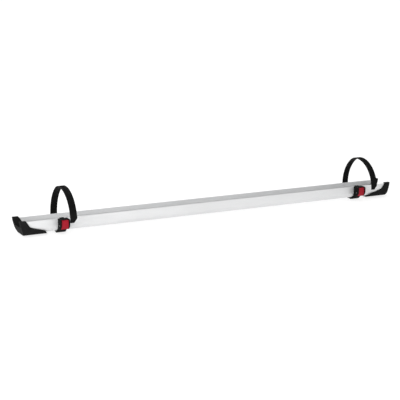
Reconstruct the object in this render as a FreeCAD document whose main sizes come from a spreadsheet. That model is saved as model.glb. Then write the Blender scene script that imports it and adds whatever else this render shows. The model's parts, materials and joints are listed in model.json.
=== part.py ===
"""Wheel rail of a bicycle carrier: a gutter-shaped aluminium channel with a moulded cap on each end
and two sliding strap sets, each a stiff strap arch and a buckle with a spring-loaded press lever.

Millimetres. +X runs along the rail, +Z is up, and the buckles are on the -Y side. The origin is the
middle of the rail's underside.
"""
import FreeCAD, Part
import math
import os
import re
import Sketcher

Vector = FreeCAD.Vector
Rotation = FreeCAD.Rotation

# Each driving size: alias, millimetres or degrees, and what it measures.
SIZES = [
    ("half_span", 640, "middle of the rail to the outer end of a cap's horns"),
    ("rail_width", 68, "across the outside of the rail"),
    ("rail_height", 38, "underside to the top of a lip"),
    ("wall", 2, "rail wall and floor"),
    ("lip_wall", 3.6, "thicker band of wall below each lip"),
    ("lip_band", 13, "height of that band"),
    ("corner_radius", 18, "outside radius of the rail's bottom corners"),
    ("lip_round", 0.8, "edge radius along the lips"),
    ("mount_pitch", 600, "between the two mounting holes"),
    ("mount_hole", 6.5, "diameter of a mounting hole, for an M6 bolt"),
    ("fit", 0.2, "gap between the rail and a cap"),
    ("strap_gap", 0.3, "gap between the rail and a strap set"),
    ("rail_inset", 19, "rail end, inboard of the horns' outer end"),
    ("cap_length", 85.5, "horns' outer end to the tip of a toe"),
    ("cap_half_width", 37, "outside of a cap"),
    ("cap_under", 3.5, "cap's bottom below the rail's underside"),
    ("cap_radius", 15, "outside radius of the cap's bottom corners"),
    ("cap_rise", 3, "horn above the lip"),
    ("horn_length", 18, "flat top of a horn"),
    ("bow_run", 13, "how far the bow leans in at the bottom"),
    ("bow_radius", 150, "curve of the bow, seen from the side"),
    ("bow_wall", 3, "thickness of the bow"),
    ("bow_top", 20, "top of the bow between the horns"),
    ("waist_in", 30.5, "inboard place of the cheek's hollow"),
    ("waist_up", 22, "height of the cheek's hollow"),
    ("toe_in", 74.5, "inboard place where the toe turns down"),
    ("toe_up", 8, "height there"),
    ("waist_radius", 12, "rounding of the cheek's hollow"),
    ("liner", 2, "cap wall inside the rail"),
    ("liner_end", 40, "inboard end of that wall"),
    ("screw_in", 30, "inboard place of the cap screws"),
    ("screw_spread", 16, "between the two cap screws"),
    ("screw_shank", 4, "cap screw shank diameter"),
    ("screw_head", 8, "cap screw head diameter"),
    ("screw_length", 7.4, "cap screw overall length"),
    ("hex_socket", 2.9, "corner diameter of the screw's socket"),
    ("socket_depth", 2.9, "depth of the screw's socket"),
    ("strap_station", 512, "middle of the rail to a strap set"),
    ("strap_width", 21, "strap"),
    ("strap_thick", 3, "strap"),
    ("foot_width", 26, "wide end of the strap under the buckle"),
    ("foot_thick", 6.2, "strap under the rail, which the whole object stands on"),
    ("foot_reach", 12, "how far from the middle the wide end starts"),
    ("hinge_up", 40, "height of the place where the arch bends"),
    ("rear_radius", 104, "first curve of the arch"),
    ("rear_turn", 56, "degrees"),
    ("crown_radius", 50, "curve at the top of the arch"),
    ("crown_turn", 28, "degrees"),
    ("front_radius", 87, "last curve of the arch"),
    ("front_turn", 96, "degrees"),
    ("root_round", 1.45, "rounded root of the arch, where the strap bends"),
    ("tip_cut", 5, "cut corners of the strap's free end"),
    ("frame_width", 28.4, "buckle"),
    ("cheek", 2, "buckle back and top"),
    ("cheek_side", 3, "each of the buckle's two cheeks"),
    ("frame_front", 62, "buckle front, from the middle of the rail"),
    ("frame_top", 40, "top of the buckle"),
    ("frame_foot", 8.5, "bottom of the buckle"),
    ("frame_chin", 48, "front of the cheeks at the bottom"),
    ("chin_radius", 21, "curve of the cheeks below the pin"),
    ("strap_slot", 5, "room for the strap, front to back"),
    ("slot_width", 22, "room for the strap, sideways"),
    ("bridge", 11, "top plate in front of the strap slot"),
    ("brow_radius", 6, "rounded top front edge of the cheeks"),
    ("groove_out", 48.7, "groove under the bridge for the spring's leg, from the middle of the rail"),
    ("groove_width", 1.4, "that groove, front to back"),
    ("groove_depth", 1.2, "that groove, upwards"),
    ("hook_width", 12, "hook over the rail's lip"),
    ("pin_out", 54, "lever pin, from the middle of the rail"),
    ("pin_up", 21.5, "height of the lever pin"),
    ("pin_size", 4, "lever pin diameter"),
    ("pin_head", 5.4, "lever pin head diameter"),
    ("pin_head_thick", 0.9, "lever pin head"),
    ("running", 0.06, "radial gap between lever and pin"),
    ("lever_width", 21.6, "press lever"),
    ("lever_top", 37.4, "top of the press lever"),
    ("lever_shell", 2.2, "wall of the press lever"),
    ("lever_rear", 3.6, "back of the lever, inboard of the pin"),
    ("lever_brow", 3.5, "top front edge of the lever, outboard of the pin"),
    ("lip_out", 1.5, "bottom front edge of the lever, outboard of the pin"),
    ("lip_up", 2, "that edge above the buckle's foot"),
    ("heel_up", 3, "bottom back edge of the lever above the buckle's foot"),
    ("hub_wall", 2.5, "wall of the lever round the pin"),
    ("pocket_up", 5.5, "floor of the lever's pocket above the pin"),
    ("pocket_low_depth", 4.2, "front of the pocket at its floor, outboard of the pin"),
    ("pocket_high_depth", 3, "front of the pocket at its roof, outboard of the pin"),
    ("spring_room_up", 6, "top of the room round the coil, above the pin"),
    ("leg_notch", 2.6, "front of the notch in the lever's roof, outboard of the pin"),
    ("crown_of_lever", 32, "curve of the press lever's face"),
    ("pawl_width", 16, "toothed plate"),
    ("pawl_thick", 1.6, "toothed plate"),
    ("pawl_root_in", 0.5, "plate's held end, inboard of the pin"),
    ("pawl_root_down", 5.2, "plate's held end, below the pin"),
    ("pawl_tip_down", 9, "plate's tip, below the pin"),
    ("pawl_tip_gap", 0.2, "plate's tip to the back of the strap slot, at rest"),
    ("pawl_bevel", 1.2, "slope of the tip"),
    ("wire", 0.8, "spring wire diameter"),
    ("coil_radius", 3.2, "spring, to the middle of the wire"),
    ("coil_pitch", 1.1, "spring, per turn"),
    ("coil_turns", 3.5, "spring"),
    ("lever_leg", 9.4, "spring leg inside the lever"),
    ("rivet_spread", 13, "between the two rivets"),
    ("rivet_up", 30, "height of the rivets"),
    ("rivet_size", 3.6, "rivet diameter"),
    ("rivet_head", 6, "rivet head diameter"),
    ("rivet_sunk", 0.4, "rivet's back end below the strap's face"),
    ("overshoot", 1, "a cutting tool's small reach past a face"),
    ("beyond", 100, "a cutting tool's reach past the solid"),
]

doc = FreeCAD.newDocument("bicycle_wheel_rail")
sheet = doc.addObject("Spreadsheet::Sheet", "sizes")
for row, (alias, amount, meaning) in enumerate(SIZES, start=1):
    sheet.set("A%d" % row, meaning)
    sheet.set("B%d" % row, str(amount))
    sheet.setAlias("B%d" % row, alias)
doc.recompute()


# ---------------------------------------------------------------- helpers

ALIASES = [alias for alias, amount, meaning in SIZES]


def bound(text):
    """Turn a formula in plain aliases into one that names the sheet."""
    return re.sub(r"[a-z_]+", lambda word: "sizes." + word[0] if word[0] in ALIASES else word[0], text)


def amount_of(text):
    """The present value of a formula in plain aliases."""
    return float(sheet.evalExpression(bound(text)))


def bind(target, path, text):
    target.setExpression(path, bound(text))


def new_body(name):
    return doc.addObject("PartDesign::Body", name)


def new_sketch(body, name, role, lift="0"):
    """A sketch on one of the body's own origin planes, lifted along the plane's normal."""
    sketch = body.newObject("Sketcher::SketchObject", name)
    plane = [item for item in body.Origin.OriginFeatures if item.Role == role][0]
    sketch.AttachmentSupport = [(plane, "")]
    sketch.MapMode = "FlatFace"
    bind(sketch, "AttachmentOffset.Base.z", lift)
    return sketch


def constrain(sketch, kind, edge, end, text):
    """Hold one end of an edge at a distance from the sketch's origin."""
    number = sketch.addConstraint(Sketcher.Constraint(kind, -1, 1, edge, end, amount_of(text)))
    bind(sketch, "Constraints[%d]" % number, text)


def draw_outline(sketch, corners, arc_edges=None):
    """A closed outline through bound corners. arc_edges maps an edge to its (radius, side)."""
    arc_edges = arc_edges or {}
    points = [Vector(amount_of(across), amount_of(up), 0) for across, up in corners]
    ends = []
    for edge, start in enumerate(points):
        finish = points[(edge + 1) % len(points)]
        if edge in arc_edges:
            radius, side = arc_edges[edge]
            chord = finish - start
            half = chord.Length / 2
            rise = amount_of(radius) - math.sqrt(amount_of(radius) ** 2 - half ** 2)
            normal = Vector(-chord.y, chord.x, 0).normalize() * side
            shape = Part.Arc(start, (start + finish) / 2 + normal * rise, finish)
            sketch.addGeometry(shape, False)
            begins = sketch.getPoint(edge, 1).isEqual(start, 1e-6)
            ends.append((1, 2) if begins else (2, 1))
        else:
            sketch.addGeometry(Part.LineSegment(start, finish), False)
            ends.append((1, 2))
    for edge in range(len(points)):
        following = (edge + 1) % len(points)
        joint = Sketcher.Constraint("Coincident", edge, ends[edge][1], following, ends[following][0])
        sketch.addConstraint(joint)
    for edge, (across, up) in enumerate(corners):
        constrain(sketch, "DistanceX", edge, ends[edge][0], across)
        constrain(sketch, "DistanceY", edge, ends[edge][0], up)
    for edge, (radius, side) in arc_edges.items():
        number = sketch.addConstraint(Sketcher.Constraint("Radius", edge, amount_of(radius)))
        bind(sketch, "Constraints[%d]" % number, radius)


def draw_circle(sketch, across, up, diameter):
    centre = Vector(amount_of(across), amount_of(up), 0)
    edge = sketch.addGeometry(Part.Circle(centre, Vector(0, 0, 1), amount_of(diameter) / 2), False)
    constrain(sketch, "DistanceX", edge, 3, across)
    constrain(sketch, "DistanceY", edge, 3, up)
    number = sketch.addConstraint(Sketcher.Constraint("Diameter", edge, amount_of(diameter)))
    bind(sketch, "Constraints[%d]" % number, diameter)


def extrude(body, kind, name, sketch, length, both_ways=True, backwards=False):
    """Pad or Pocket a sketch. A Pocket has to remove something."""
    doc.recompute()
    before = 0 if body.Shape.isNull() else body.Shape.Volume
    feature = body.newObject("PartDesign::" + kind, name)
    feature.Profile = sketch
    feature.Midplane = both_ways
    feature.Reversed = backwards
    bind(feature, "Length", length)
    sketch.Visibility = False
    doc.recompute()
    if kind == "Pocket" and body.Shape.Volume > before - 1e-3:
        raise RuntimeError(name + " cuts nothing")
    return feature


def dress(body, kind, name, base, size, wanted):
    """Fillet or Chamfer the edges of base that wanted() picks by their middle and direction."""
    names = []
    for number, edge in enumerate(base.Shape.Edges, start=1):
        middle = edge.valueAt((edge.FirstParameter + edge.LastParameter) / 2)
        along = (edge.Vertexes[-1].Point - edge.Vertexes[0].Point)
        if wanted(middle, along):
            names.append("Edge%d" % number)
    if not names:
        raise RuntimeError(name + " finds no edge")
    feature = body.newObject("PartDesign::" + kind, name)
    feature.Base = (base, names)
    bind(feature, "Radius" if kind == "Fillet" else "Size", size)
    doc.recompute()
    return feature


def runs_along(direction, along):
    """Whether an edge's chord is parallel to a main axis."""
    return along.Length > 1e-6 and abs(abs(along.normalize().dot(direction)) - 1) < 1e-6


ALONG_X = Vector(1, 0, 0)
ALONG_Y = Vector(0, 1, 0)
ALONG_Z = Vector(0, 0, 1)


def boolean(kind, name, first, others):
    """Part::Cut of one tool, or Part::MultiFuse of several shapes."""
    if kind == "Cut":
        result = doc.addObject("Part::Cut", name)
        result.Base = first
        result.Tool = others
    else:
        result = doc.addObject("Part::MultiFuse", name)
        result.Shapes = [first] + others
    result.Refine = True
    doc.recompute()
    return result


def trough(name, half_width, under, radius, start, length, top):
    """A bar along X with a flat top and rounded bottom corners, running from start towards -X."""
    body = new_body(name)
    sketch = new_sketch(body, name + "_section", "YZ_Plane", start)
    draw_outline(sketch, [
        ("-" + half_width, under),
        (half_width, under),
        (half_width, top),
        ("-" + half_width, top),
    ])
    bar = extrude(body, "Pad", name + "_bar", sketch, length, both_ways=False, backwards=True)
    low = amount_of(under) + 1e-3
    dress(body, "Fillet", name + "_corners", bar, radius,
          lambda middle, along: runs_along(ALONG_X, along) and middle.z < low)
    return body


def upright_cylinder(name, diameter, bottom, height, across_x, across_y):
    """A Part::Cylinder standing along +Z."""
    post = doc.addObject("Part::Cylinder", name)
    bind(post, "Radius", diameter + " / 2")
    bind(post, "Height", height)
    bind(post, "Placement.Base.x", across_x)
    bind(post, "Placement.Base.y", across_y)
    bind(post, "Placement.Base.z", bottom)
    return post


def place(piece, label, side, distance, turned=False):
    """Name a finished sub-part and set it at its station along the rail."""
    piece.Label = label
    if turned and side < 0:
        piece.Placement.Rotation = Rotation(ALONG_Z, 180)
    bind(piece, "Placement.Base.x", distance if side > 0 else "-1 * " + distance)
    finished.append(piece)
    return piece


finished = []


# ---------------------------------------------------------------- rail

def make_rail():
    """The extruded channel, with mounting holes and pilot holes for the cap screws."""
    body = new_body("rail_body")
    sketch = new_sketch(body, "rail_section", "YZ_Plane")
    outside = "rail_width / 2"
    inside = "( rail_width / 2 - wall )"
    band = "( rail_width / 2 - lip_wall )"
    step = "rail_height - lip_band"
    draw_outline(sketch, [
        ("-1 * " + outside, "0"),
        (outside, "0"),
        (outside, "rail_height"),
        (band, "rail_height"),
        (band, step),
        (inside, step),
        (inside, "wall"),
        ("-1 * " + inside, "wall"),
        ("-1 * " + inside, step),
        ("-1 * " + band, step),
        ("-1 * " + band, "rail_height"),
        ("-1 * " + outside, "rail_height"),
    ])
    bar = extrude(body, "Pad", "rail_bar", sketch, "2 * ( half_span - rail_inset )")
    wall = amount_of("wall")
    height = amount_of("rail_height")
    outer = dress(body, "Fillet", "rail_outer_corners", bar, "corner_radius",
                  lambda middle, along: runs_along(ALONG_X, along) and abs(middle.z) < 1e-3)
    inner = dress(body, "Fillet", "rail_inner_corners", outer, "corner_radius - wall",
                  lambda middle, along: runs_along(ALONG_X, along) and abs(middle.z - wall) < 1e-3
                  and abs(middle.y) > amount_of("rail_width / 2 - wall") - 1e-3)
    dress(body, "Fillet", "rail_lips", inner, "lip_round",
          lambda middle, along: runs_along(ALONG_X, along) and abs(middle.z - height) < 1e-3)

    holes = new_sketch(body, "mounting_hole_places", "XY_Plane")
    for end in ("-1 * ", "1 * "):
        draw_circle(holes, end + "mount_pitch / 2", "0", "mount_hole")
    extrude(body, "Pocket", "mounting_holes", holes, "beyond")
    pilots = new_sketch(body, "pilot_hole_places", "XY_Plane")
    for end in ("-1 * ", "1 * "):
        for side in ("-1 * ", "1 * "):
            draw_circle(pilots, end + "( half_span - screw_in )", side + "screw_spread / 2",
                        "screw_shank")
    extrude(body, "Pocket", "pilot_holes", pilots, "beyond")
    body.Label = "rail"
    finished.append(body)


# ---------------------------------------------------------------- end caps

CAP_BOTTOM = "-1 * cap_under"
CAP_TOP = "rail_height + cap_rise"


def trim_bow(body, name, offset):
    """Cut a bar's outboard end to the leaning bow curve, moved inboard by offset."""
    sketch = new_sketch(body, name, "XZ_Plane")
    draw_outline(sketch, [
        ("-1 * bow_run - " + offset, CAP_BOTTOM),
        ("-1 * bow_run - " + offset, "-1 * beyond"),
        ("3 * beyond", "-1 * beyond"),
        ("3 * beyond", "2 * beyond"),
        ("-1 * " + offset, "2 * beyond"),
        ("-1 * " + offset, CAP_TOP),
    ], {5: ("bow_radius", 1)})
    extrude(body, "Pocket", name + "_cut", sketch, "2 * beyond")


def make_end_cap(side, word):
    """A cap's shell: bow, two horns, two toes, and a slot that the rail's end pushes into."""
    name = word + "_cap"
    blank = trough(name + "_blank", "cap_half_width", CAP_BOTTOM, "cap_radius", "0", "cap_length", CAP_TOP)
    trim_bow(blank, name + "_bow", "0")
    cheeks = new_sketch(blank, name + "_cheeks", "XZ_Plane")
    draw_outline(cheeks, [
        ("-1 * horn_length", CAP_TOP + " + overshoot"),
        ("-1 * horn_length", CAP_TOP),
        ("-1 * waist_in", "waist_up"),
        ("-1 * toe_in", "toe_up"),
        ("-1 * cap_length", CAP_BOTTOM),
        ("-1 * beyond", CAP_BOTTOM),
        ("-1 * beyond", CAP_TOP + " + overshoot"),
    ])
    cut = extrude(blank, "Pocket", name + "_cheek_cut", cheeks, "2 * beyond")
    waist = -amount_of("waist_in")
    dress(blank, "Fillet", name + "_waist", cut, "waist_radius",
          lambda middle, along: runs_along(ALONG_Y, along) and abs(middle.x - waist) < 1e-3)

    liner_face = "( rail_width / 2 - lip_wall - fit )"
    channel = trough(name + "_channel", "( " + liner_face + " - liner )", "wall + fit + liner",
                     "corner_radius - wall - liner", "beyond", "3 * beyond", "beyond")
    trim_bow(channel, name + "_inner_bow", "bow_wall")
    gateway = trough(name + "_gateway", "( " + liner_face + " - liner )", "bow_top",
                     "bow_wall", "beyond", "beyond + rail_inset", "beyond")
    slot_outside = trough(name + "_slot_outside", "( rail_width / 2 + fit )", "-1 * fit",
                          "corner_radius + fit", "-1 * rail_inset", "2 * beyond", "rail_height + fit")
    slot_inside = trough(name + "_slot_inside", liner_face, "wall + fit", "corner_radius - wall - liner / 2",
                         "beyond", "4 * beyond", "beyond")
    slot = boolean("Cut", name + "_slot", slot_outside, slot_inside)
    liner_relief = trough(name + "_liner_relief", "( rail_width / 2 - lip_wall )", "wall",
                          "corner_radius - wall", "-1 * liner_end", "2 * beyond", "beyond")
    hollow = boolean("Fuse", name + "_hollow", channel, [gateway, slot, liner_relief])
    shell = boolean("Cut", name + "_shell", blank, hollow)

    holes = []
    for number, across in enumerate(("-1 * screw_spread / 2", "screw_spread / 2"), start=1):
        shank = upright_cylinder("%s_shank_hole_%d" % (name, number), "screw_shank", CAP_BOTTOM,
                                 "3 * cap_under", "-1 * screw_in", across)
        sink = doc.addObject("Part::Cone", "%s_sink_%d" % (name, number))
        bind(sink, "Radius1", "screw_head / 2")
        bind(sink, "Radius2", "screw_shank / 2")
        bind(sink, "Height", "( screw_head - screw_shank ) / 2")
        bind(sink, "Placement.Base.x", "-1 * screw_in")
        bind(sink, "Placement.Base.y", across)
        bind(sink, "Placement.Base.z", CAP_BOTTOM)
        holes += [shank, sink]
    bores = boolean("Fuse", name + "_bores", holes[0], holes[1:])
    cap = boolean("Cut", name + "_drilled", shell, bores)
    place(cap, word + "_end_cap", side, "half_span", turned=True)


def make_cap_screws(side, word):
    """Two countersunk screws with hex sockets, up through the cap's floor into the rail's."""
    name = word + "_screw"
    screws = []
    for number, across in enumerate(("-1 * screw_spread / 2", "screw_spread / 2"), start=1):
        shank = upright_cylinder("%s_shank_%d" % (name, number), "screw_shank", CAP_BOTTOM,
                                 "screw_length", "-1 * screw_in", across)
        head = doc.addObject("Part::Cone", "%s_head_%d" % (name, number))
        bind(head, "Radius1", "screw_head / 2")
        bind(head, "Radius2", "screw_shank / 2")
        bind(head, "Height", "( screw_head - screw_shank ) / 2")
        bind(head, "Placement.Base.x", "-1 * screw_in")
        bind(head, "Placement.Base.y", across)
        bind(head, "Placement.Base.z", CAP_BOTTOM)
        socket = doc.addObject("Part::Prism", "%s_socket_%d" % (name, number))
        socket.Polygon = 6
        bind(socket, "Circumradius", "hex_socket / 2")
        bind(socket, "Height", "socket_depth + overshoot")
        bind(socket, "Placement.Base.x", "-1 * screw_in")
        bind(socket, "Placement.Base.y", across)
        bind(socket, "Placement.Base.z", CAP_BOTTOM + " - overshoot")
        solid = boolean("Fuse", "%s_solid_%d" % (name, number), shank, [head])
        screws.append(boolean("Cut", "%s_cut_%d" % (name, number), solid, socket))
    pair = doc.addObject("Part::Compound", name + "_pair")
    pair.Links = screws
    place(pair, word + "_cap_screws", side, "half_span", turned=True)


# ---------------------------------------------------------------- straps

STRAP_INNER = "( rail_width / 2 + strap_gap )"
STRAP_OUTER = "( rail_width / 2 + strap_gap + strap_thick )"
STRAP_MIDDLE = "( rail_width / 2 + strap_gap + strap_thick / 2 )"


def band_round_rail(name, width, top):
    """A U-shaped band that follows the outside of the rail from lip to lip."""
    start = width + " / 2"
    outside = trough(name + "_outside", STRAP_OUTER, "-1 * strap_gap - foot_thick",
                     "corner_radius + strap_gap + strap_thick", start, width, top)
    inside = trough(name + "_inside", STRAP_INNER, "-1 * strap_gap", "corner_radius + strap_gap",
                    "beyond", "2 * beyond", "beyond")
    return boolean("Cut", name, outside, inside)


def side_box(name, width, low_y, high_y):
    """A tall box, centred on X, used to keep one side of a band."""
    box = doc.addObject("Part::Box", name)
    bind(box, "Length", width)
    bind(box, "Width", "( " + high_y + " ) - ( " + low_y + " )")
    bind(box, "Height", "2 * beyond")
    bind(box, "Placement.Base.x", "-1 * " + width + " / 2")
    bind(box, "Placement.Base.y", low_y)
    bind(box, "Placement.Base.z", "-1 * beyond")
    return box


def rivet_tools(name, front, back):
    """Two countersunk rivets along Y, heads flush with the plane y = -front."""
    rivets = []
    for number, across in enumerate(("-1 * rivet_spread / 2", "rivet_spread / 2"), start=1):
        shank = doc.addObject("Part::Cylinder", "%s_shank_%d" % (name, number))
        bind(shank, "Radius", "rivet_size / 2")
        bind(shank, "Height", "( " + front + " ) - ( " + back + " )")
        head = doc.addObject("Part::Cone", "%s_head_%d" % (name, number))
        bind(head, "Radius1", "rivet_head / 2")
        bind(head, "Radius2", "rivet_size / 2")
        bind(head, "Height", "( rivet_head - rivet_size ) / 2")
        for solid in (shank, head):
            solid.Placement.Rotation = Rotation(ALONG_X, -90)
            bind(solid, "Placement.Base.x", across)
            bind(solid, "Placement.Base.y", "-1 * ( " + front + " )")
            bind(solid, "Placement.Base.z", "rivet_up")
        rivets.append(boolean("Fuse", "%s_%d" % (name, number), shank, [head]))
    return rivets


RIVET_FRONT = STRAP_OUTER + " + cheek"
RIVET_BACK = STRAP_INNER + " + rivet_sunk"


def make_strap_base(side, word):
    """The strap's lower end: round the underside of the rail, and wide where the buckle sits."""
    name = word + "_base"
    narrow = band_round_rail(name + "_narrow", "strap_width", "hinge_up - strap_thick / 2 - strap_gap")
    rear_box = side_box(name + "_rear_box", "foot_width", "-1 * foot_reach", "beyond")
    wide = band_round_rail(name + "_wide", "foot_width", "rail_height")
    wide_front = boolean("Cut", name + "_wide_front", wide, rear_box)
    front_box = side_box(name + "_front_box", "foot_width", "-1 * beyond", "-1 * foot_reach")
    narrow_rear = boolean("Cut", name + "_narrow_rear", narrow, front_box)
    band = boolean("Fuse", name + "_band", narrow_rear, [wide_front])
    rivets = rivet_tools(name + "_rivet_hole", RIVET_FRONT, STRAP_INNER + " - strap_gap")
    holes = boolean("Fuse", name + "_rivet_holes", rivets[0], rivets[1:])
    place(boolean("Cut", name + "_riveted", band, holes), word + "_strap_base", side, "strap_station")


def make_strap_arch(side, word):
    """The free arch of the strap: a flat section swept along three tangent arcs."""
    body = new_body(word + "_arch")
    path = new_sketch(body, word + "_arch_path", "YZ_Plane")
    heading = math.radians(90)
    place_now = Vector(amount_of(STRAP_MIDDLE), amount_of("hinge_up - strap_thick / 2"), 0)
    legs = (("rear_radius", "rear_turn"), ("crown_radius", "crown_turn"), ("front_radius", "front_turn"))
    for radius, turn in legs:
        reach = amount_of(radius)
        angle = math.radians(amount_of(turn))
        centre = place_now + Vector(-math.sin(heading), math.cos(heading), 0) * reach
        first = heading - math.radians(90)
        arc = Part.ArcOfCircle(Part.Circle(centre, Vector(0, 0, 1), reach), first, first + angle)
        path.addGeometry(arc, False)
        heading += angle
        place_now = centre + Vector(math.sin(heading), -math.cos(heading), 0) * reach
    constrain(path, "DistanceX", 0, 1, STRAP_MIDDLE)
    constrain(path, "DistanceY", 0, 1, "hinge_up - strap_thick / 2")
    constrain(path, "DistanceY", 0, 3, "hinge_up - strap_thick / 2")
    for edge in (0, 1):
        path.addConstraint(Sketcher.Constraint("Tangent", edge, 2, edge + 1, 1))
    for edge, (radius, turn) in enumerate(legs):
        number = path.addConstraint(Sketcher.Constraint("Radius", edge, amount_of(radius)))
        bind(path, "Constraints[%d]" % number, radius)
        angle = math.radians(amount_of(turn))
        number = path.addConstraint(Sketcher.Constraint("Angle", edge, angle))
        bind(path, "Constraints[%d]" % number, turn + " * 1 deg")
    section = new_sketch(body, word + "_arch_section", "XY_Plane", "hinge_up - strap_thick / 2")
    draw_outline(section, [
        ("-1 * strap_width / 2", STRAP_INNER),
        ("strap_width / 2", STRAP_INNER),
        ("strap_width / 2", STRAP_OUTER),
        ("-1 * strap_width / 2", STRAP_OUTER),
    ])
    doc.recompute()
    sweep = body.newObject("PartDesign::AdditivePipe", word + "_arch_sweep")
    sweep.Profile = section
    sweep.Spine = path
    path.Visibility = False
    doc.recompute()
    length = sum(math.radians(amount_of(turn)) * amount_of(radius) for radius, turn in legs)
    expected = length * amount_of("strap_width * strap_thick")
    if abs(sweep.Shape.Volume - expected) > expected / 100:
        raise RuntimeError("the strap arch's volume isn't its section times its length")
    root = amount_of("hinge_up - strap_thick / 2")
    rounded = dress(body, "Fillet", word + "_arch_root", sweep, "root_round",
                    lambda middle, along: runs_along(ALONG_X, along) and middle.y > 0
                    and abs(middle.z - root) < 1e-3)
    # The free end's short edges are the only ones this far out in front of the buckle.
    front = amount_of("-2 * pin_out")
    half = amount_of("strap_width / 2")
    dress(body, "Chamfer", word + "_arch_tip", rounded, "tip_cut",
          lambda middle, along: middle.y < front and abs(abs(middle.x) - half) < 1e-3
          and along.Length < amount_of("strap_thick") * 1.1)
    place(body, word + "_strap", side, "strap_station")


# ---------------------------------------------------------------- buckles

FRAME_BACK = STRAP_OUTER
PLATE_FRONT = "( " + STRAP_OUTER + " + cheek )"
SLOT_FRONT = "( " + STRAP_OUTER + " + cheek + strap_slot )"
SPRING_ROOM = "( coil_pitch * coil_turns + 4 * wire )"


def make_buckle_frame(side, word):
    """Back plate, two cheeks, a top with the strap's slot, and a hook over the rail's lip."""
    name = word + "_frame"
    body = new_body(name)
    outline = new_sketch(body, name + "_side_view", "YZ_Plane")
    draw_outline(outline, [
        ("-1 * " + FRAME_BACK, "frame_foot"),
        ("-1 * " + FRAME_BACK, "frame_top"),
        ("-1 * frame_front", "frame_top"),
        ("-1 * frame_front", "pin_up"),
        ("-1 * frame_chin", "frame_foot"),
    ], {3: ("chin_radius", -1)})
    block = extrude(body, "Pad", name + "_block", outline, "frame_width")
    front = amount_of("-1 * frame_front")
    top = amount_of("frame_top")
    dress(body, "Fillet", name + "_brow", block, "brow_radius",
          lambda middle, along: runs_along(ALONG_X, along) and abs(middle.y - front) < 1e-3
          and abs(middle.z - top) < 1e-3)
    inside = new_sketch(body, name + "_inside", "YZ_Plane")
    draw_outline(inside, [
        ("-1 * " + PLATE_FRONT, "0"),
        ("-1 * " + PLATE_FRONT, "frame_top - cheek"),
        ("-1 * ( " + SLOT_FRONT + " + bridge )", "frame_top - cheek"),
        ("-1 * ( " + SLOT_FRONT + " + bridge )", "beyond"),
        ("-1 * beyond", "beyond"),
        ("-1 * beyond", "0"),
    ])
    extrude(body, "Pocket", name + "_hollow", inside, "frame_width - 2 * cheek_side")
    slot = new_sketch(body, name + "_slot", "XY_Plane", "frame_top")
    draw_outline(slot, [
        ("-1 * slot_width / 2", "-1 * " + SLOT_FRONT),
        ("slot_width / 2", "-1 * " + SLOT_FRONT),
        ("slot_width / 2", "-1 * " + PLATE_FRONT),
        ("-1 * slot_width / 2", "-1 * " + PLATE_FRONT),
    ])
    extrude(body, "Pocket", name + "_strap_slot", slot, "4 * cheek")
    groove = new_sketch(body, name + "_groove", "XY_Plane", "frame_top - cheek")
    draw_outline(groove, [
        ("-1 * " + SPRING_ROOM + " / 2", "-1 * groove_out - groove_width / 2"),
        (SPRING_ROOM + " / 2", "-1 * groove_out - groove_width / 2"),
        (SPRING_ROOM + " / 2", "-1 * groove_out + groove_width / 2"),
        ("-1 * " + SPRING_ROOM + " / 2", "-1 * groove_out + groove_width / 2"),
    ])
    extrude(body, "Pocket", name + "_leg_groove", groove, "2 * groove_depth")
    pin_holes = new_sketch(body, name + "_pin_places", "YZ_Plane")
    draw_circle(pin_holes, "-1 * pin_out", "pin_up", "pin_size")
    extrude(body, "Pocket", name + "_pin_holes", pin_holes, "2 * frame_width")
    hook = new_sketch(body, name + "_hook_side_view", "YZ_Plane")
    inner_face = "( rail_width / 2 - lip_wall - strap_gap )"
    barb = "( rail_width / 2 - wall - strap_gap * 2 )"
    step = "( rail_height - lip_band - strap_gap )"
    draw_outline(hook, [
        ("-1 * " + PLATE_FRONT, "frame_top"),
        ("-1 * " + PLATE_FRONT, "rail_height + strap_gap"),
        ("-1 * " + inner_face, "rail_height + strap_gap"),
        ("-1 * " + inner_face, step),
        ("-1 * " + barb, step),
        ("-1 * " + inner_face, step + " - cheek"),
        ("-1 * ( " + inner_face + " - cheek )", step + " - cheek"),
        ("-1 * ( " + inner_face + " - cheek )", "frame_top"),
    ])
    extrude(body, "Pad", name + "_hook", hook, "hook_width")
    rivets = rivet_tools(name + "_rivet_hole", RIVET_FRONT, STRAP_INNER + " - strap_gap")
    holes = boolean("Fuse", name + "_rivet_holes", rivets[0], rivets[1:])
    place(boolean("Cut", name + "_riveted", body, holes), word + "_buckle_frame", side, "strap_station")


def make_rivets(side, word):
    """Two rivets that hold the frame to the strap's wide end."""
    name = word + "_rivet"
    pair = doc.addObject("Part::Compound", name + "_pair")
    pair.Links = rivet_tools(name, RIVET_FRONT, RIVET_BACK)
    place(pair, word + "_buckle_rivets", side, "strap_station")


LEVER_REAR = "( pin_out - lever_rear )"
HUB = "( pin_size + 2 * hub_wall )"


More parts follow.
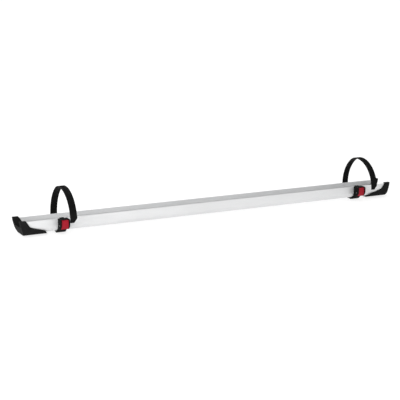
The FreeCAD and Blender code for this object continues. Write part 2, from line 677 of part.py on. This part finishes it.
def make_lever(side, word):
    """The press lever: a crowned shell, hollow behind, with a hub on the pin."""
    name = word + "_lever"
    body = new_body(name)
    outline = new_sketch(body, name + "_side_view", "YZ_Plane")
    draw_outline(outline, [
        ("-1 * " + LEVER_REAR, "frame_foot + heel_up"),
        ("-1 * " + LEVER_REAR, "lever_top"),
        ("-1 * ( pin_out + lever_brow )", "lever_top"),
        ("-1 * ( pin_out + lip_out )", "frame_foot + lip_up"),
    ], {2: ("crown_of_lever", -1)})
    block = extrude(body, "Pad", name + "_block", outline, "lever_width")
    hub_side = new_sketch(body, name + "_hub_side_view", "YZ_Plane")
    draw_circle(hub_side, "-1 * pin_out", "pin_up", HUB)
    extrude(body, "Pad", name + "_hub", hub_side, "lever_width")
    pocket = new_sketch(body, name + "_pocket_side_view", "YZ_Plane")
    draw_outline(pocket, [
        ("-1 * ( pin_out + pocket_low_depth )", "pin_up + pocket_up"),
        ("0", "pin_up + pocket_up"),
        ("0", "lever_top - lever_shell"),
        ("-1 * ( pin_out + pocket_high_depth )", "lever_top - lever_shell"),
    ])
    extrude(body, "Pocket", name + "_pocket", pocket, "lever_width - 2 * lever_shell")
    spring_room = new_sketch(body, name + "_spring_room", "YZ_Plane")
    draw_outline(spring_room, [
        ("-1 * ( pin_out + coil_radius + wire )", "pin_up - coil_radius - wire"),
        ("0", "pin_up - coil_radius - wire"),
        ("0", "pin_up + spring_room_up"),
        ("-1 * ( pin_out + coil_radius + wire )", "pin_up + spring_room_up"),
    ])
    extrude(body, "Pocket", name + "_spring_cut", spring_room, SPRING_ROOM)
    notch = new_sketch(body, name + "_leg_notch", "XY_Plane", "lever_top")
    draw_outline(notch, [
        ("-1 * " + SPRING_ROOM + " / 2", "-1 * ( pin_out + leg_notch )"),
        (SPRING_ROOM + " / 2", "-1 * ( pin_out + leg_notch )"),
        (SPRING_ROOM + " / 2", "0"),
        ("-1 * " + SPRING_ROOM + " / 2", "0"),
    ])
    extrude(body, "Pocket", name + "_leg_notch_cut", notch, "4 * lever_shell")
    bore = new_sketch(body, name + "_bore", "YZ_Plane")
    draw_circle(bore, "-1 * pin_out", "pin_up", "pin_size + 2 * running")
    extrude(body, "Pocket", name + "_bore_cut", bore, "2 * lever_width")
    seat = new_sketch(body, name + "_pawl_seat", "YZ_Plane")
    draw_outline(seat, PAWL_OUTLINE)
    extrude(body, "Pocket", name + "_pawl_seat_cut", seat, "pawl_width")
    place(body, word + "_press_lever", side, "strap_station")


PAWL_OUTLINE = [
    ("-1 * ( pin_out - pawl_root_in )", "pin_up - pawl_root_down"),
    ("-1 * ( pin_out - pawl_root_in )", "pin_up - pawl_root_down - pawl_thick"),
    ("-1 * " + PLATE_FRONT + " - pawl_tip_gap", "pin_up - pawl_tip_down"),
    ("-1 * " + PLATE_FRONT + " - pawl_tip_gap - pawl_bevel", "pin_up - pawl_tip_down + pawl_thick"),
]


def make_pawl(side, word):
    """The steel plate that bites between the strap's teeth."""
    name = word + "_pawl_body"
    body = new_body(name)
    outline = new_sketch(body, name + "_side_view", "YZ_Plane")
    draw_outline(outline, PAWL_OUTLINE)
    extrude(body, "Pad", name + "_plate", outline, "pawl_width")
    place(body, word + "_pawl", side, "strap_station")


def make_pin(side, word):
    """The lever's pin, with a head outside each cheek."""
    name = word + "_pin"
    solids = []
    stretches = (
        ("shank", "pin_size", "-1 * frame_width / 2", "frame_width"),
        ("near_head", "pin_head", "-1 * frame_width / 2 - pin_head_thick", "pin_head_thick"),
        ("far_head", "pin_head", "frame_width / 2", "pin_head_thick"),
    )
    for part, diameter, start, length in stretches:
        solid = doc.addObject("Part::Cylinder", name + "_" + part)
        bind(solid, "Radius", diameter + " / 2")
        bind(solid, "Height", length)
        solid.Placement.Rotation = Rotation(ALONG_Y, 90)
        bind(solid, "Placement.Base.x", start)
        bind(solid, "Placement.Base.y", "-1 * pin_out")
        bind(solid, "Placement.Base.z", "pin_up")
        solids.append(solid)
    pin = boolean("Fuse", name + "_solid", solids[0], solids[1:])
    place(pin, word + "_lever_pin", side, "strap_station")


def make_spring(side, word):
    """A torsion spring round the pin, one leg in the bridge's groove and one inside the lever."""
    radius = amount_of("coil_radius")
    wire = amount_of("wire")
    pitch = amount_of("coil_pitch")
    rise = pitch * amount_of("coil_turns")
    helix = Part.makeHelix(pitch, rise, radius)
    start = helix.Edges[0].valueAt(helix.Edges[0].FirstParameter)
    section = Part.Wire(Part.makeCircle(wire / 2, start, ALONG_Y))
    coil = Part.Wire(helix.Edges).makePipeShell([section], True, True)
    coil.rotate(Vector(0, 0, 0), ALONG_Z, 180)
    inward = amount_of("pin_out - coil_radius - groove_out")
    upward = amount_of("frame_top - cheek + groove_depth / 2 - pin_up")
    frame_leg = Part.makeCylinder(wire / 2, math.hypot(inward, upward),
                                  Vector(radius, 0, rise), Vector(inward, upward, 0))
    lever_leg = Part.makeCylinder(wire / 2, amount_of("lever_leg"), Vector(-radius, 0, 0), ALONG_Y)
    spring = coil.fuse([frame_leg, lever_leg])
    # The coil's own axes X, Y and Z become Y, Z and X.
    axes = Rotation(ALONG_Y, ALONG_Z, ALONG_X, "XYZ")
    centre = Vector(-rise / 2, -amount_of("pin_out"), amount_of("pin_up"))
    spring = spring.transformGeometry(FreeCAD.Placement(centre, axes).toMatrix())
    piece = doc.addObject("Part::Feature", word + "_spring_body")
    piece.Shape = spring
    place(piece, word + "_lever_spring", side, "strap_station")


# ---------------------------------------------------------------- assembly

make_rail()
for side, word in ((-1, "left"), (1, "right")):
    make_end_cap(side, word)
    make_cap_screws(side, word)
    make_strap_base(side, word)
    make_strap_arch(side, word)
    make_buckle_frame(side, word)
    make_rivets(side, word)
    make_lever(side, word)
    make_pawl(side, word)
    make_pin(side, word)
    make_spring(side, word)
doc.recompute()

for item in doc.Objects:
    if "Invalid" in item.State or "Error" in item.State:
        raise RuntimeError("%s is %s" % (item.Name, item.State))
os.makedirs("parts", exist_ok=True)
for piece in finished:
    if piece.Shape.isNull() or not piece.Shape.isValid():
        raise RuntimeError(piece.Label + " has no valid shape")
    piece.Shape.exportStep("parts/%s.step" % piece.Label)
    print("%-22s %9.1f mm3, %d solid(s)" % (piece.Label, piece.Shape.Volume, len(piece.Shape.Solids)))
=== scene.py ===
"""Looks of the bicycle carrier wheel rail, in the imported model's own frame. Metres."""
import json
import math

import bmesh
import bpy
from mathutils import Matrix, Vector


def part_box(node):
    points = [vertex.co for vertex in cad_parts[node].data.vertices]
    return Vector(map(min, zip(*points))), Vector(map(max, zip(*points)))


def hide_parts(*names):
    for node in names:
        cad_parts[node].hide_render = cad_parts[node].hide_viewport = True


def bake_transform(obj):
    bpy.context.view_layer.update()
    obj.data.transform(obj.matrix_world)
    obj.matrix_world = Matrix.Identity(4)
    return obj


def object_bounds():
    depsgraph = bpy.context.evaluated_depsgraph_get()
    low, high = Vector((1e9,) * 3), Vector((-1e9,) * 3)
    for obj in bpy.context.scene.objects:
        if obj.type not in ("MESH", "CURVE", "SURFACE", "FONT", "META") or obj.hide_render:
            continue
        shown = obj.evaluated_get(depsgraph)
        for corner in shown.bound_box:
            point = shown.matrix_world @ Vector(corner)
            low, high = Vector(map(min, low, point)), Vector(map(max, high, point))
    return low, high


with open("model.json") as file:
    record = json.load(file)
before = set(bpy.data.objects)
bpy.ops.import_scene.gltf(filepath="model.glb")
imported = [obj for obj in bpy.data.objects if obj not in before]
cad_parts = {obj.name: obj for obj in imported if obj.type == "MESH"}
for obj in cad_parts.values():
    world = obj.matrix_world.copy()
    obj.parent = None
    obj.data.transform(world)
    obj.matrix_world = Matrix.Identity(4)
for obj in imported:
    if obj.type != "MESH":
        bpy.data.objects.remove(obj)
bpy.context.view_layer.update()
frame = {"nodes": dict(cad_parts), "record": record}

MM = 0.001
WORDS = ("left", "right")

# The strap's arch: three tangent arcs, (radius, degrees of turn), from the rear lip to the free end.
ARCH_ARCS = ((104 * MM, 56), (50 * MM, 28), (87 * MM, 96))
ARCH_HEADING = math.radians(90)
# The arch's middle line starts this far above its base, and its lowest ring hangs this far below that start.
ROOT_RISE = 0.3 * MM
ROOT_DROP = 0.25 * MM

# The strap's cross-section, with the rounding of its long edges in steps of so many degrees.
STRAP_HALF_WIDTH = 10.5 * MM
STRAP_THICK = 3 * MM
EDGE_ROUND = 0.7 * MM
EDGE_STEP = 30
QUARTER_TURN = 90
SHARP_ANGLE = math.radians(32)

# The free end has one cut corner, on the +X side: how far back it starts, and how much width it takes.
TIP_CUT = 12 * MM
TIP_CUT_ACROSS = 9.5 * MM
TIP_STEPS = 4

# Grooves across the outer face leave teeth between them. The profile is (share of the pitch, depth).
TOOTH_PITCH = 4 * MM
TOOTH_DEEP = 0.6 * MM
TOOTH_PROFILE = ((0.12, TOOTH_DEEP), (0.45, TOOTH_DEEP), (0.90, 0.0))
TOOTH_HALF_WIDTH = 6.4 * MM
TOOTH_WALL = 0.5 * MM
TEETH_START = 70 * MM
TEETH_STOP_SHORT = 14 * MM


# ---------------------------------------------------------------- materials

# Noise lies mostly between these values, so colour and roughness change between them.
COLOUR_BAND = (0.35, 0.65)
ROUGH_BAND = (0.3, 0.7)
NO_STRETCH = (1, 1, 1)


def grey(level):
    return (level, level, level)


def new_material(name):
    material = bpy.data.materials.new(name)
    material.use_nodes = True
    tree = material.node_tree
    shader = tree.nodes["Principled BSDF"]
    return material, tree, shader


def noise(tree, stretch, scale, detail):
    """A noise pattern in the object's own space; stretch multiplies each axis, scale is per metre."""
    where = tree.nodes.new("ShaderNodeTexCoord")
    mapping = tree.nodes.new("ShaderNodeMapping")
    mapping.inputs["Scale"].default_value = stretch
    texture = tree.nodes.new("ShaderNodeTexNoise")
    texture.inputs["Scale"].default_value = scale
    texture.inputs["Detail"].default_value = detail
    tree.links.new(where.outputs["Object"], mapping.inputs["Vector"])
    tree.links.new(mapping.outputs["Vector"], texture.inputs["Vector"])
    return texture.outputs["Fac"]


def colour_between(tree, shader, factor, dark, light):
    ramp = tree.nodes.new("ShaderNodeValToRGB")
    for stop, position, colour in zip(ramp.color_ramp.elements, COLOUR_BAND, (dark, light)):
        stop.position = position
        stop.color = (*colour, 1)
    tree.links.new(factor, ramp.inputs["Fac"])
    tree.links.new(ramp.outputs["Color"], shader.inputs["Base Color"])


def roughness_between(tree, shader, factor, low, high):
    spread = tree.nodes.new("ShaderNodeMapRange")
    spread.inputs["From Min"].default_value = ROUGH_BAND[0]
    spread.inputs["From Max"].default_value = ROUGH_BAND[1]
    spread.inputs["To Min"].default_value = low
    spread.inputs["To Max"].default_value = high
    tree.links.new(factor, spread.inputs["Value"])
    tree.links.new(spread.outputs["Result"], shader.inputs["Roughness"])


def bumped(tree, shader, height, strength, distance):
    bump = tree.nodes.new("ShaderNodeBump")
    bump.inputs["Strength"].default_value = strength
    bump.inputs["Distance"].default_value = distance
    tree.links.new(height, bump.inputs["Height"])
    tree.links.new(bump.outputs["Normal"], shader.inputs["Normal"])


def anodised_aluminium():
    """Satin metal with the fine lines that extrusion leaves along its length."""
    material, tree, shader = new_material("anodised_aluminium_look")
    lines = noise(tree, stretch=(1.5, 900, 900), scale=1.0, detail=3.0)
    broad = noise(tree, stretch=(1, 6, 6), scale=5.0, detail=3.0)
    colour_between(tree, shader, broad, dark=(0.67, 0.674, 0.678), light=(0.71, 0.714, 0.718))
    roughness_between(tree, shader, lines, low=0.36, high=0.50)
    bumped(tree, shader, lines, strength=0.12, distance=0.05 * MM)
    shader.inputs["Metallic"].default_value = 0.30
    return material


def plastic(name, dark, light, rough, grain, grain_strength, specular):
    """Moulded plastic: slow colour drift, patchy gloss and a fine spark-eroded grain."""
    material, tree, shader = new_material(name)
    drift = noise(tree, NO_STRETCH, scale=45.0, detail=4.0)
    patches = noise(tree, NO_STRETCH, scale=420.0, detail=6.0)
    fine = noise(tree, NO_STRETCH, scale=grain, detail=2.0)
    colour_between(tree, shader, drift, dark, light)
    roughness_between(tree, shader, patches, *rough)
    bumped(tree, shader, fine, strength=grain_strength, distance=0.08 * MM)
    shader.inputs["Specular IOR Level"].default_value = specular
    return material


def steel(name, dark, light, rough, stretch=NO_STRETCH):
    """Small steel parts with drawn or turned marks."""
    material, tree, shader = new_material(name)
    marks = noise(tree, stretch, scale=900.0, detail=3.0)
    drift = noise(tree, NO_STRETCH, scale=260.0, detail=4.0)
    colour_between(tree, shader, drift, dark, light)
    roughness_between(tree, shader, marks, *rough)
    bumped(tree, shader, marks, strength=0.15, distance=0.04 * MM)
    shader.inputs["Metallic"].default_value = 1.0
    return material


ALUMINIUM = anodised_aluminium()
CAP = plastic("cap_look", dark=grey(0.009), light=grey(0.013), rough=(0.54, 0.66),
              grain=1500.0, grain_strength=0.55, specular=0.02)
STRAP = plastic("strap_look", dark=grey(0.004), light=grey(0.007), rough=(0.50, 0.62),
                grain=1900.0, grain_strength=0.30, specular=0.04)
BUCKLE = plastic("buckle_look", dark=grey(0.004), light=grey(0.007), rough=(0.50, 0.62),
                 grain=1700.0, grain_strength=0.40, specular=0.03)
LEVER = plastic("lever_look", dark=(0.275, 0.0066, 0.0165), light=(0.320, 0.0082, 0.0200), rough=(0.32, 0.42),
                grain=1800.0, grain_strength=0.16, specular=0.12)
PLATED = steel("plated_look", dark=(0.50, 0.50, 0.51), light=(0.64, 0.64, 0.64), rough=(0.24, 0.40))
PIN = steel("pin_look", dark=(0.09, 0.09, 0.088), light=(0.14, 0.14, 0.135), rough=(0.30, 0.46))
PLATE = steel("plate_look", dark=(0.38, 0.38, 0.40), light=(0.50, 0.50, 0.52), rough=(0.30, 0.46),
              stretch=(0.1, 1, 1))
WIRE = steel("wire_look", dark=(0.34, 0.34, 0.35), light=(0.46, 0.46, 0.47), rough=(0.26, 0.40))

LOOKS = {
    "anodised_aluminium": ALUMINIUM,
    "black_moulding": CAP,
    "black_strap": STRAP,
    "black_buckle": BUCKLE,
    "red_lever": LEVER,
    "pin_steel": PIN,
    "rivet_steel": PLATED,
    "screw_steel": PLATED,
    "pawl_steel": PLATE,
    "spring_steel": WIRE,
}
slot_of = {entry["node"]: entry["material_slot"] for entry in frame["record"]["subparts"]}
for node, piece in frame["nodes"].items():
    for place in piece.material_slots:
        place.material = LOOKS[slot_of[node]]


# ---------------------------------------------------------------- straps

def left_of(heading):
    return Vector((-math.sin(heading), math.cos(heading)))


def arch_point(along, start):
    """Point and outward direction on the arch's middle line, a distance along it from its root, as (y, z)."""
    heading = ARCH_HEADING
    here = Vector(start)
    for radius, turn in ARCH_ARCS:
        if along <= 0:
            break
        run = min(along, radius * math.radians(turn))
        centre = here + left_of(heading) * radius
        heading += run / radius
        here = centre - left_of(heading) * radius
        along -= run
    return here, -left_of(heading)


def strap_section(half_width, tooth):
    """Cross-section, anticlockwise: (across, outward). tooth is how deep the outer face's middle lies."""
    half = STRAP_THICK / 2
    outer = []
    for turn in range(0, QUARTER_TURN + 1, EDGE_STEP):
        angle = math.radians(turn)
        outer.append((half_width - EDGE_ROUND + EDGE_ROUND * math.cos(angle),
                      half - EDGE_ROUND + EDGE_ROUND * math.sin(angle)))
    inner_edge = min(TOOTH_HALF_WIDTH, half_width - EDGE_ROUND - TOOTH_WALL)
    outer.append((inner_edge + TOOTH_WALL, half))
    outer.append((inner_edge, half - tooth))
    mirrored = [(-across, out) for across, out in reversed(outer)]
    lower = [(-half_width, -half + EDGE_ROUND)]
    for turn in range(EDGE_STEP, QUARTER_TURN + 1, EDGE_STEP):
        angle = math.radians(turn)
        lower.append((-half_width + EDGE_ROUND - EDGE_ROUND * math.cos(angle),
                      -half + EDGE_ROUND - EDGE_ROUND * math.sin(angle)))
    lower += [(-across, out) for across, out in reversed(lower)]
    return outer + mirrored + lower


def strap_rows(length):
    """Distances along the strap, with the depth of its grooves at each."""
    rows = [(-ROOT_DROP, 0.0)]
    along = 0.0
    while along < TEETH_START:
        rows.append((along, 0.0))
        along += TOOTH_PITCH
    while along + TOOTH_PITCH < length - TEETH_STOP_SHORT:
        rows.append((along, 0.0))
        rows += [(along + share * TOOTH_PITCH, depth) for share, depth in TOOTH_PROFILE]
        along += TOOTH_PITCH
    rows.append((along, 0.0))
    rows += [(length - TIP_CUT * (1 - step / TIP_STEPS), 0.0) for step in range(TIP_STEPS + 1)]
    return rows


def strap_arch_mesh(name, middle_x, start):
    """The strap as rings of points along the arch, joined into a closed surface."""
    length = sum(radius * math.radians(turn) for radius, turn in ARCH_ARCS)
    mesh = bmesh.new()
    rings = []
    for along, tooth in strap_rows(length):
        here, outward = arch_point(along, start)
        here.y += min(0.0, along)
        trimmed = TIP_CUT_ACROSS * max(0.0, 1 - (length - along) / TIP_CUT)
        ring = []
        for across, out in strap_section(STRAP_HALF_WIDTH - trimmed / 2, tooth):
            spot = here + outward * out
            ring.append(mesh.verts.new((middle_x - trimmed / 2 + across, spot.x, spot.y)))
        rings.append(ring)
    for first, second in zip(rings, rings[1:]):
        for corner in range(len(first)):
            following = (corner + 1) % len(first)
            mesh.faces.new((first[corner], first[following], second[following], second[corner]))
    mesh.faces.new(list(reversed(rings[0])))
    mesh.faces.new(rings[-1])
    bmesh.ops.recalc_face_normals(mesh, faces=mesh.faces)
    data = bpy.data.meshes.new(name)
    mesh.to_mesh(data)
    mesh.free()
    for face in data.polygons:
        face.use_smooth = True
    data.set_sharp_from_angle(angle=SHARP_ANGLE)
    return data


def make_strap_arch(word):
    """A toothed strap in place of the plain arch. Its root sits on the base."""
    low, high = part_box(word + "_strap")
    middle_x = (low.x + high.x) / 2
    start = (high.y - STRAP_THICK / 2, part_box(word + "_strap_base")[1].z + ROOT_RISE)
    data = strap_arch_mesh(word + "_strap_arch_mesh", middle_x, start)
    piece = bpy.data.objects.new(word + "_strap_arch_look", data)
    bpy.context.scene.collection.objects.link(piece)
    data.materials.append(STRAP)
    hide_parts(word + "_strap")
    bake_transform(piece)


for word in WORDS:
    make_strap_arch(word)


# ---------------------------------------------------------------- lever springs

def wind_up_spring(word):
    """A copy of the lever spring in the wire look, in place of the imported one."""
    node = word + "_lever_spring"
    data = frame["nodes"][node].data.copy()
    piece = bpy.data.objects.new(node + "_look", data)
    bpy.context.scene.collection.objects.link(piece)
    data.materials.clear()
    data.materials.append(WIRE)
    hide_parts(node)
    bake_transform(piece)


for word in WORDS:
    wind_up_spring(word)


# ---------------------------------------------------------------- stage, light and camera

FLOOR_PALE = 0.30
FLOOR_GLOW = 0.76
FLOOR_ROUGH = 0.9
FLOOR_REACH = 30.0
FLOOR_DROP = 0.1 * MM
SKY = 0.85
FRONT_LIGHT = 9
BACK_LIGHT = 30

CAMERA_SPOT = Vector((-1.6652, -3.1558, 0.8534))
CAMERA_YAW = math.radians(27.137)
CAMERA_DOWN = math.radians(12.920)
CAMERA_ROLL = math.radians(0.4108)
CAMERA_LENS = 106.12
SENSOR_WIDTH = 36


def make_floor():
    """A wide pale floor that glows, just under the lowest point of the object."""
    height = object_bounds()[0].z - FLOOR_DROP
    data = bpy.data.meshes.new("floor_mesh")
    around = ((-1, -1), (1, -1), (1, 1), (-1, 1))
    corners = [(x * FLOOR_REACH, y * FLOOR_REACH, height) for x, y in around]
    data.from_pydata(corners, [], [(0, 1, 2, 3)])
    floor = bpy.data.objects.new("floor", data)
    bpy.context.scene.collection.objects.link(floor)
    material, tree, shader = new_material("floor_look")
    shader.inputs["Base Color"].default_value = (*grey(FLOOR_PALE), 1)
    shader.inputs["Roughness"].default_value = FLOOR_ROUGH
    shader.inputs["Emission Color"].default_value = (1, 1, 1, 1)
    shader.inputs["Emission Strength"].default_value = FLOOR_GLOW
    data.materials.append(material)


def make_sky():
    """An even white sky, shown without any tone curve."""
    world = bpy.data.worlds.new("studio")
    bpy.context.scene.world = world
    bpy.context.scene.view_settings.view_transform = "Standard"
    world.use_nodes = True
    background = world.node_tree.nodes["Background"]
    background.inputs["Color"].default_value = (1, 1, 1, 1)
    background.inputs["Strength"].default_value = SKY


def area_light(name, spot, aim, size, power):
    data = bpy.data.lights.new(name, "AREA")
    data.shape = "DISK"
    data.size = size
    data.energy = power
    light = bpy.data.objects.new(name, data)
    light.location = spot
    light.rotation_euler = (Vector(aim) - Vector(spot)).to_track_quat("-Z", "Y").to_euler()
    bpy.context.scene.collection.objects.link(light)


def make_camera():
    data = bpy.data.cameras.new("camera")
    data.lens = CAMERA_LENS
    data.sensor_width = SENSOR_WIDTH
    camera = bpy.data.objects.new("camera", data)
    bpy.context.scene.collection.objects.link(camera)
    right = Vector((math.cos(CAMERA_YAW), -math.sin(CAMERA_YAW), 0))
    ahead = Vector((math.sin(CAMERA_YAW) * math.cos(CAMERA_DOWN),
                    math.cos(CAMERA_YAW) * math.cos(CAMERA_DOWN), -math.sin(CAMERA_DOWN)))
    up = right.cross(ahead)
    across = right * math.cos(CAMERA_ROLL) + up * math.sin(CAMERA_ROLL)
    upward = up * math.cos(CAMERA_ROLL) - right * math.sin(CAMERA_ROLL)
    turned = Matrix((across, upward, -ahead)).transposed()
    camera.matrix_world = Matrix.Translation(CAMERA_SPOT) @ turned.to_4x4()
    bpy.context.scene.camera = camera


make_floor()
make_sky()
area_light("front", spot=(-1.3, -0.9, 0.5), aim=(-0.5, 0, 0), size=0.8, power=FRONT_LIGHT)
area_light("back", spot=(-1.0, 1.4, 2.4), aim=(-0.3, 0, 0), size=1.8, power=BACK_LIGHT)
make_camera()
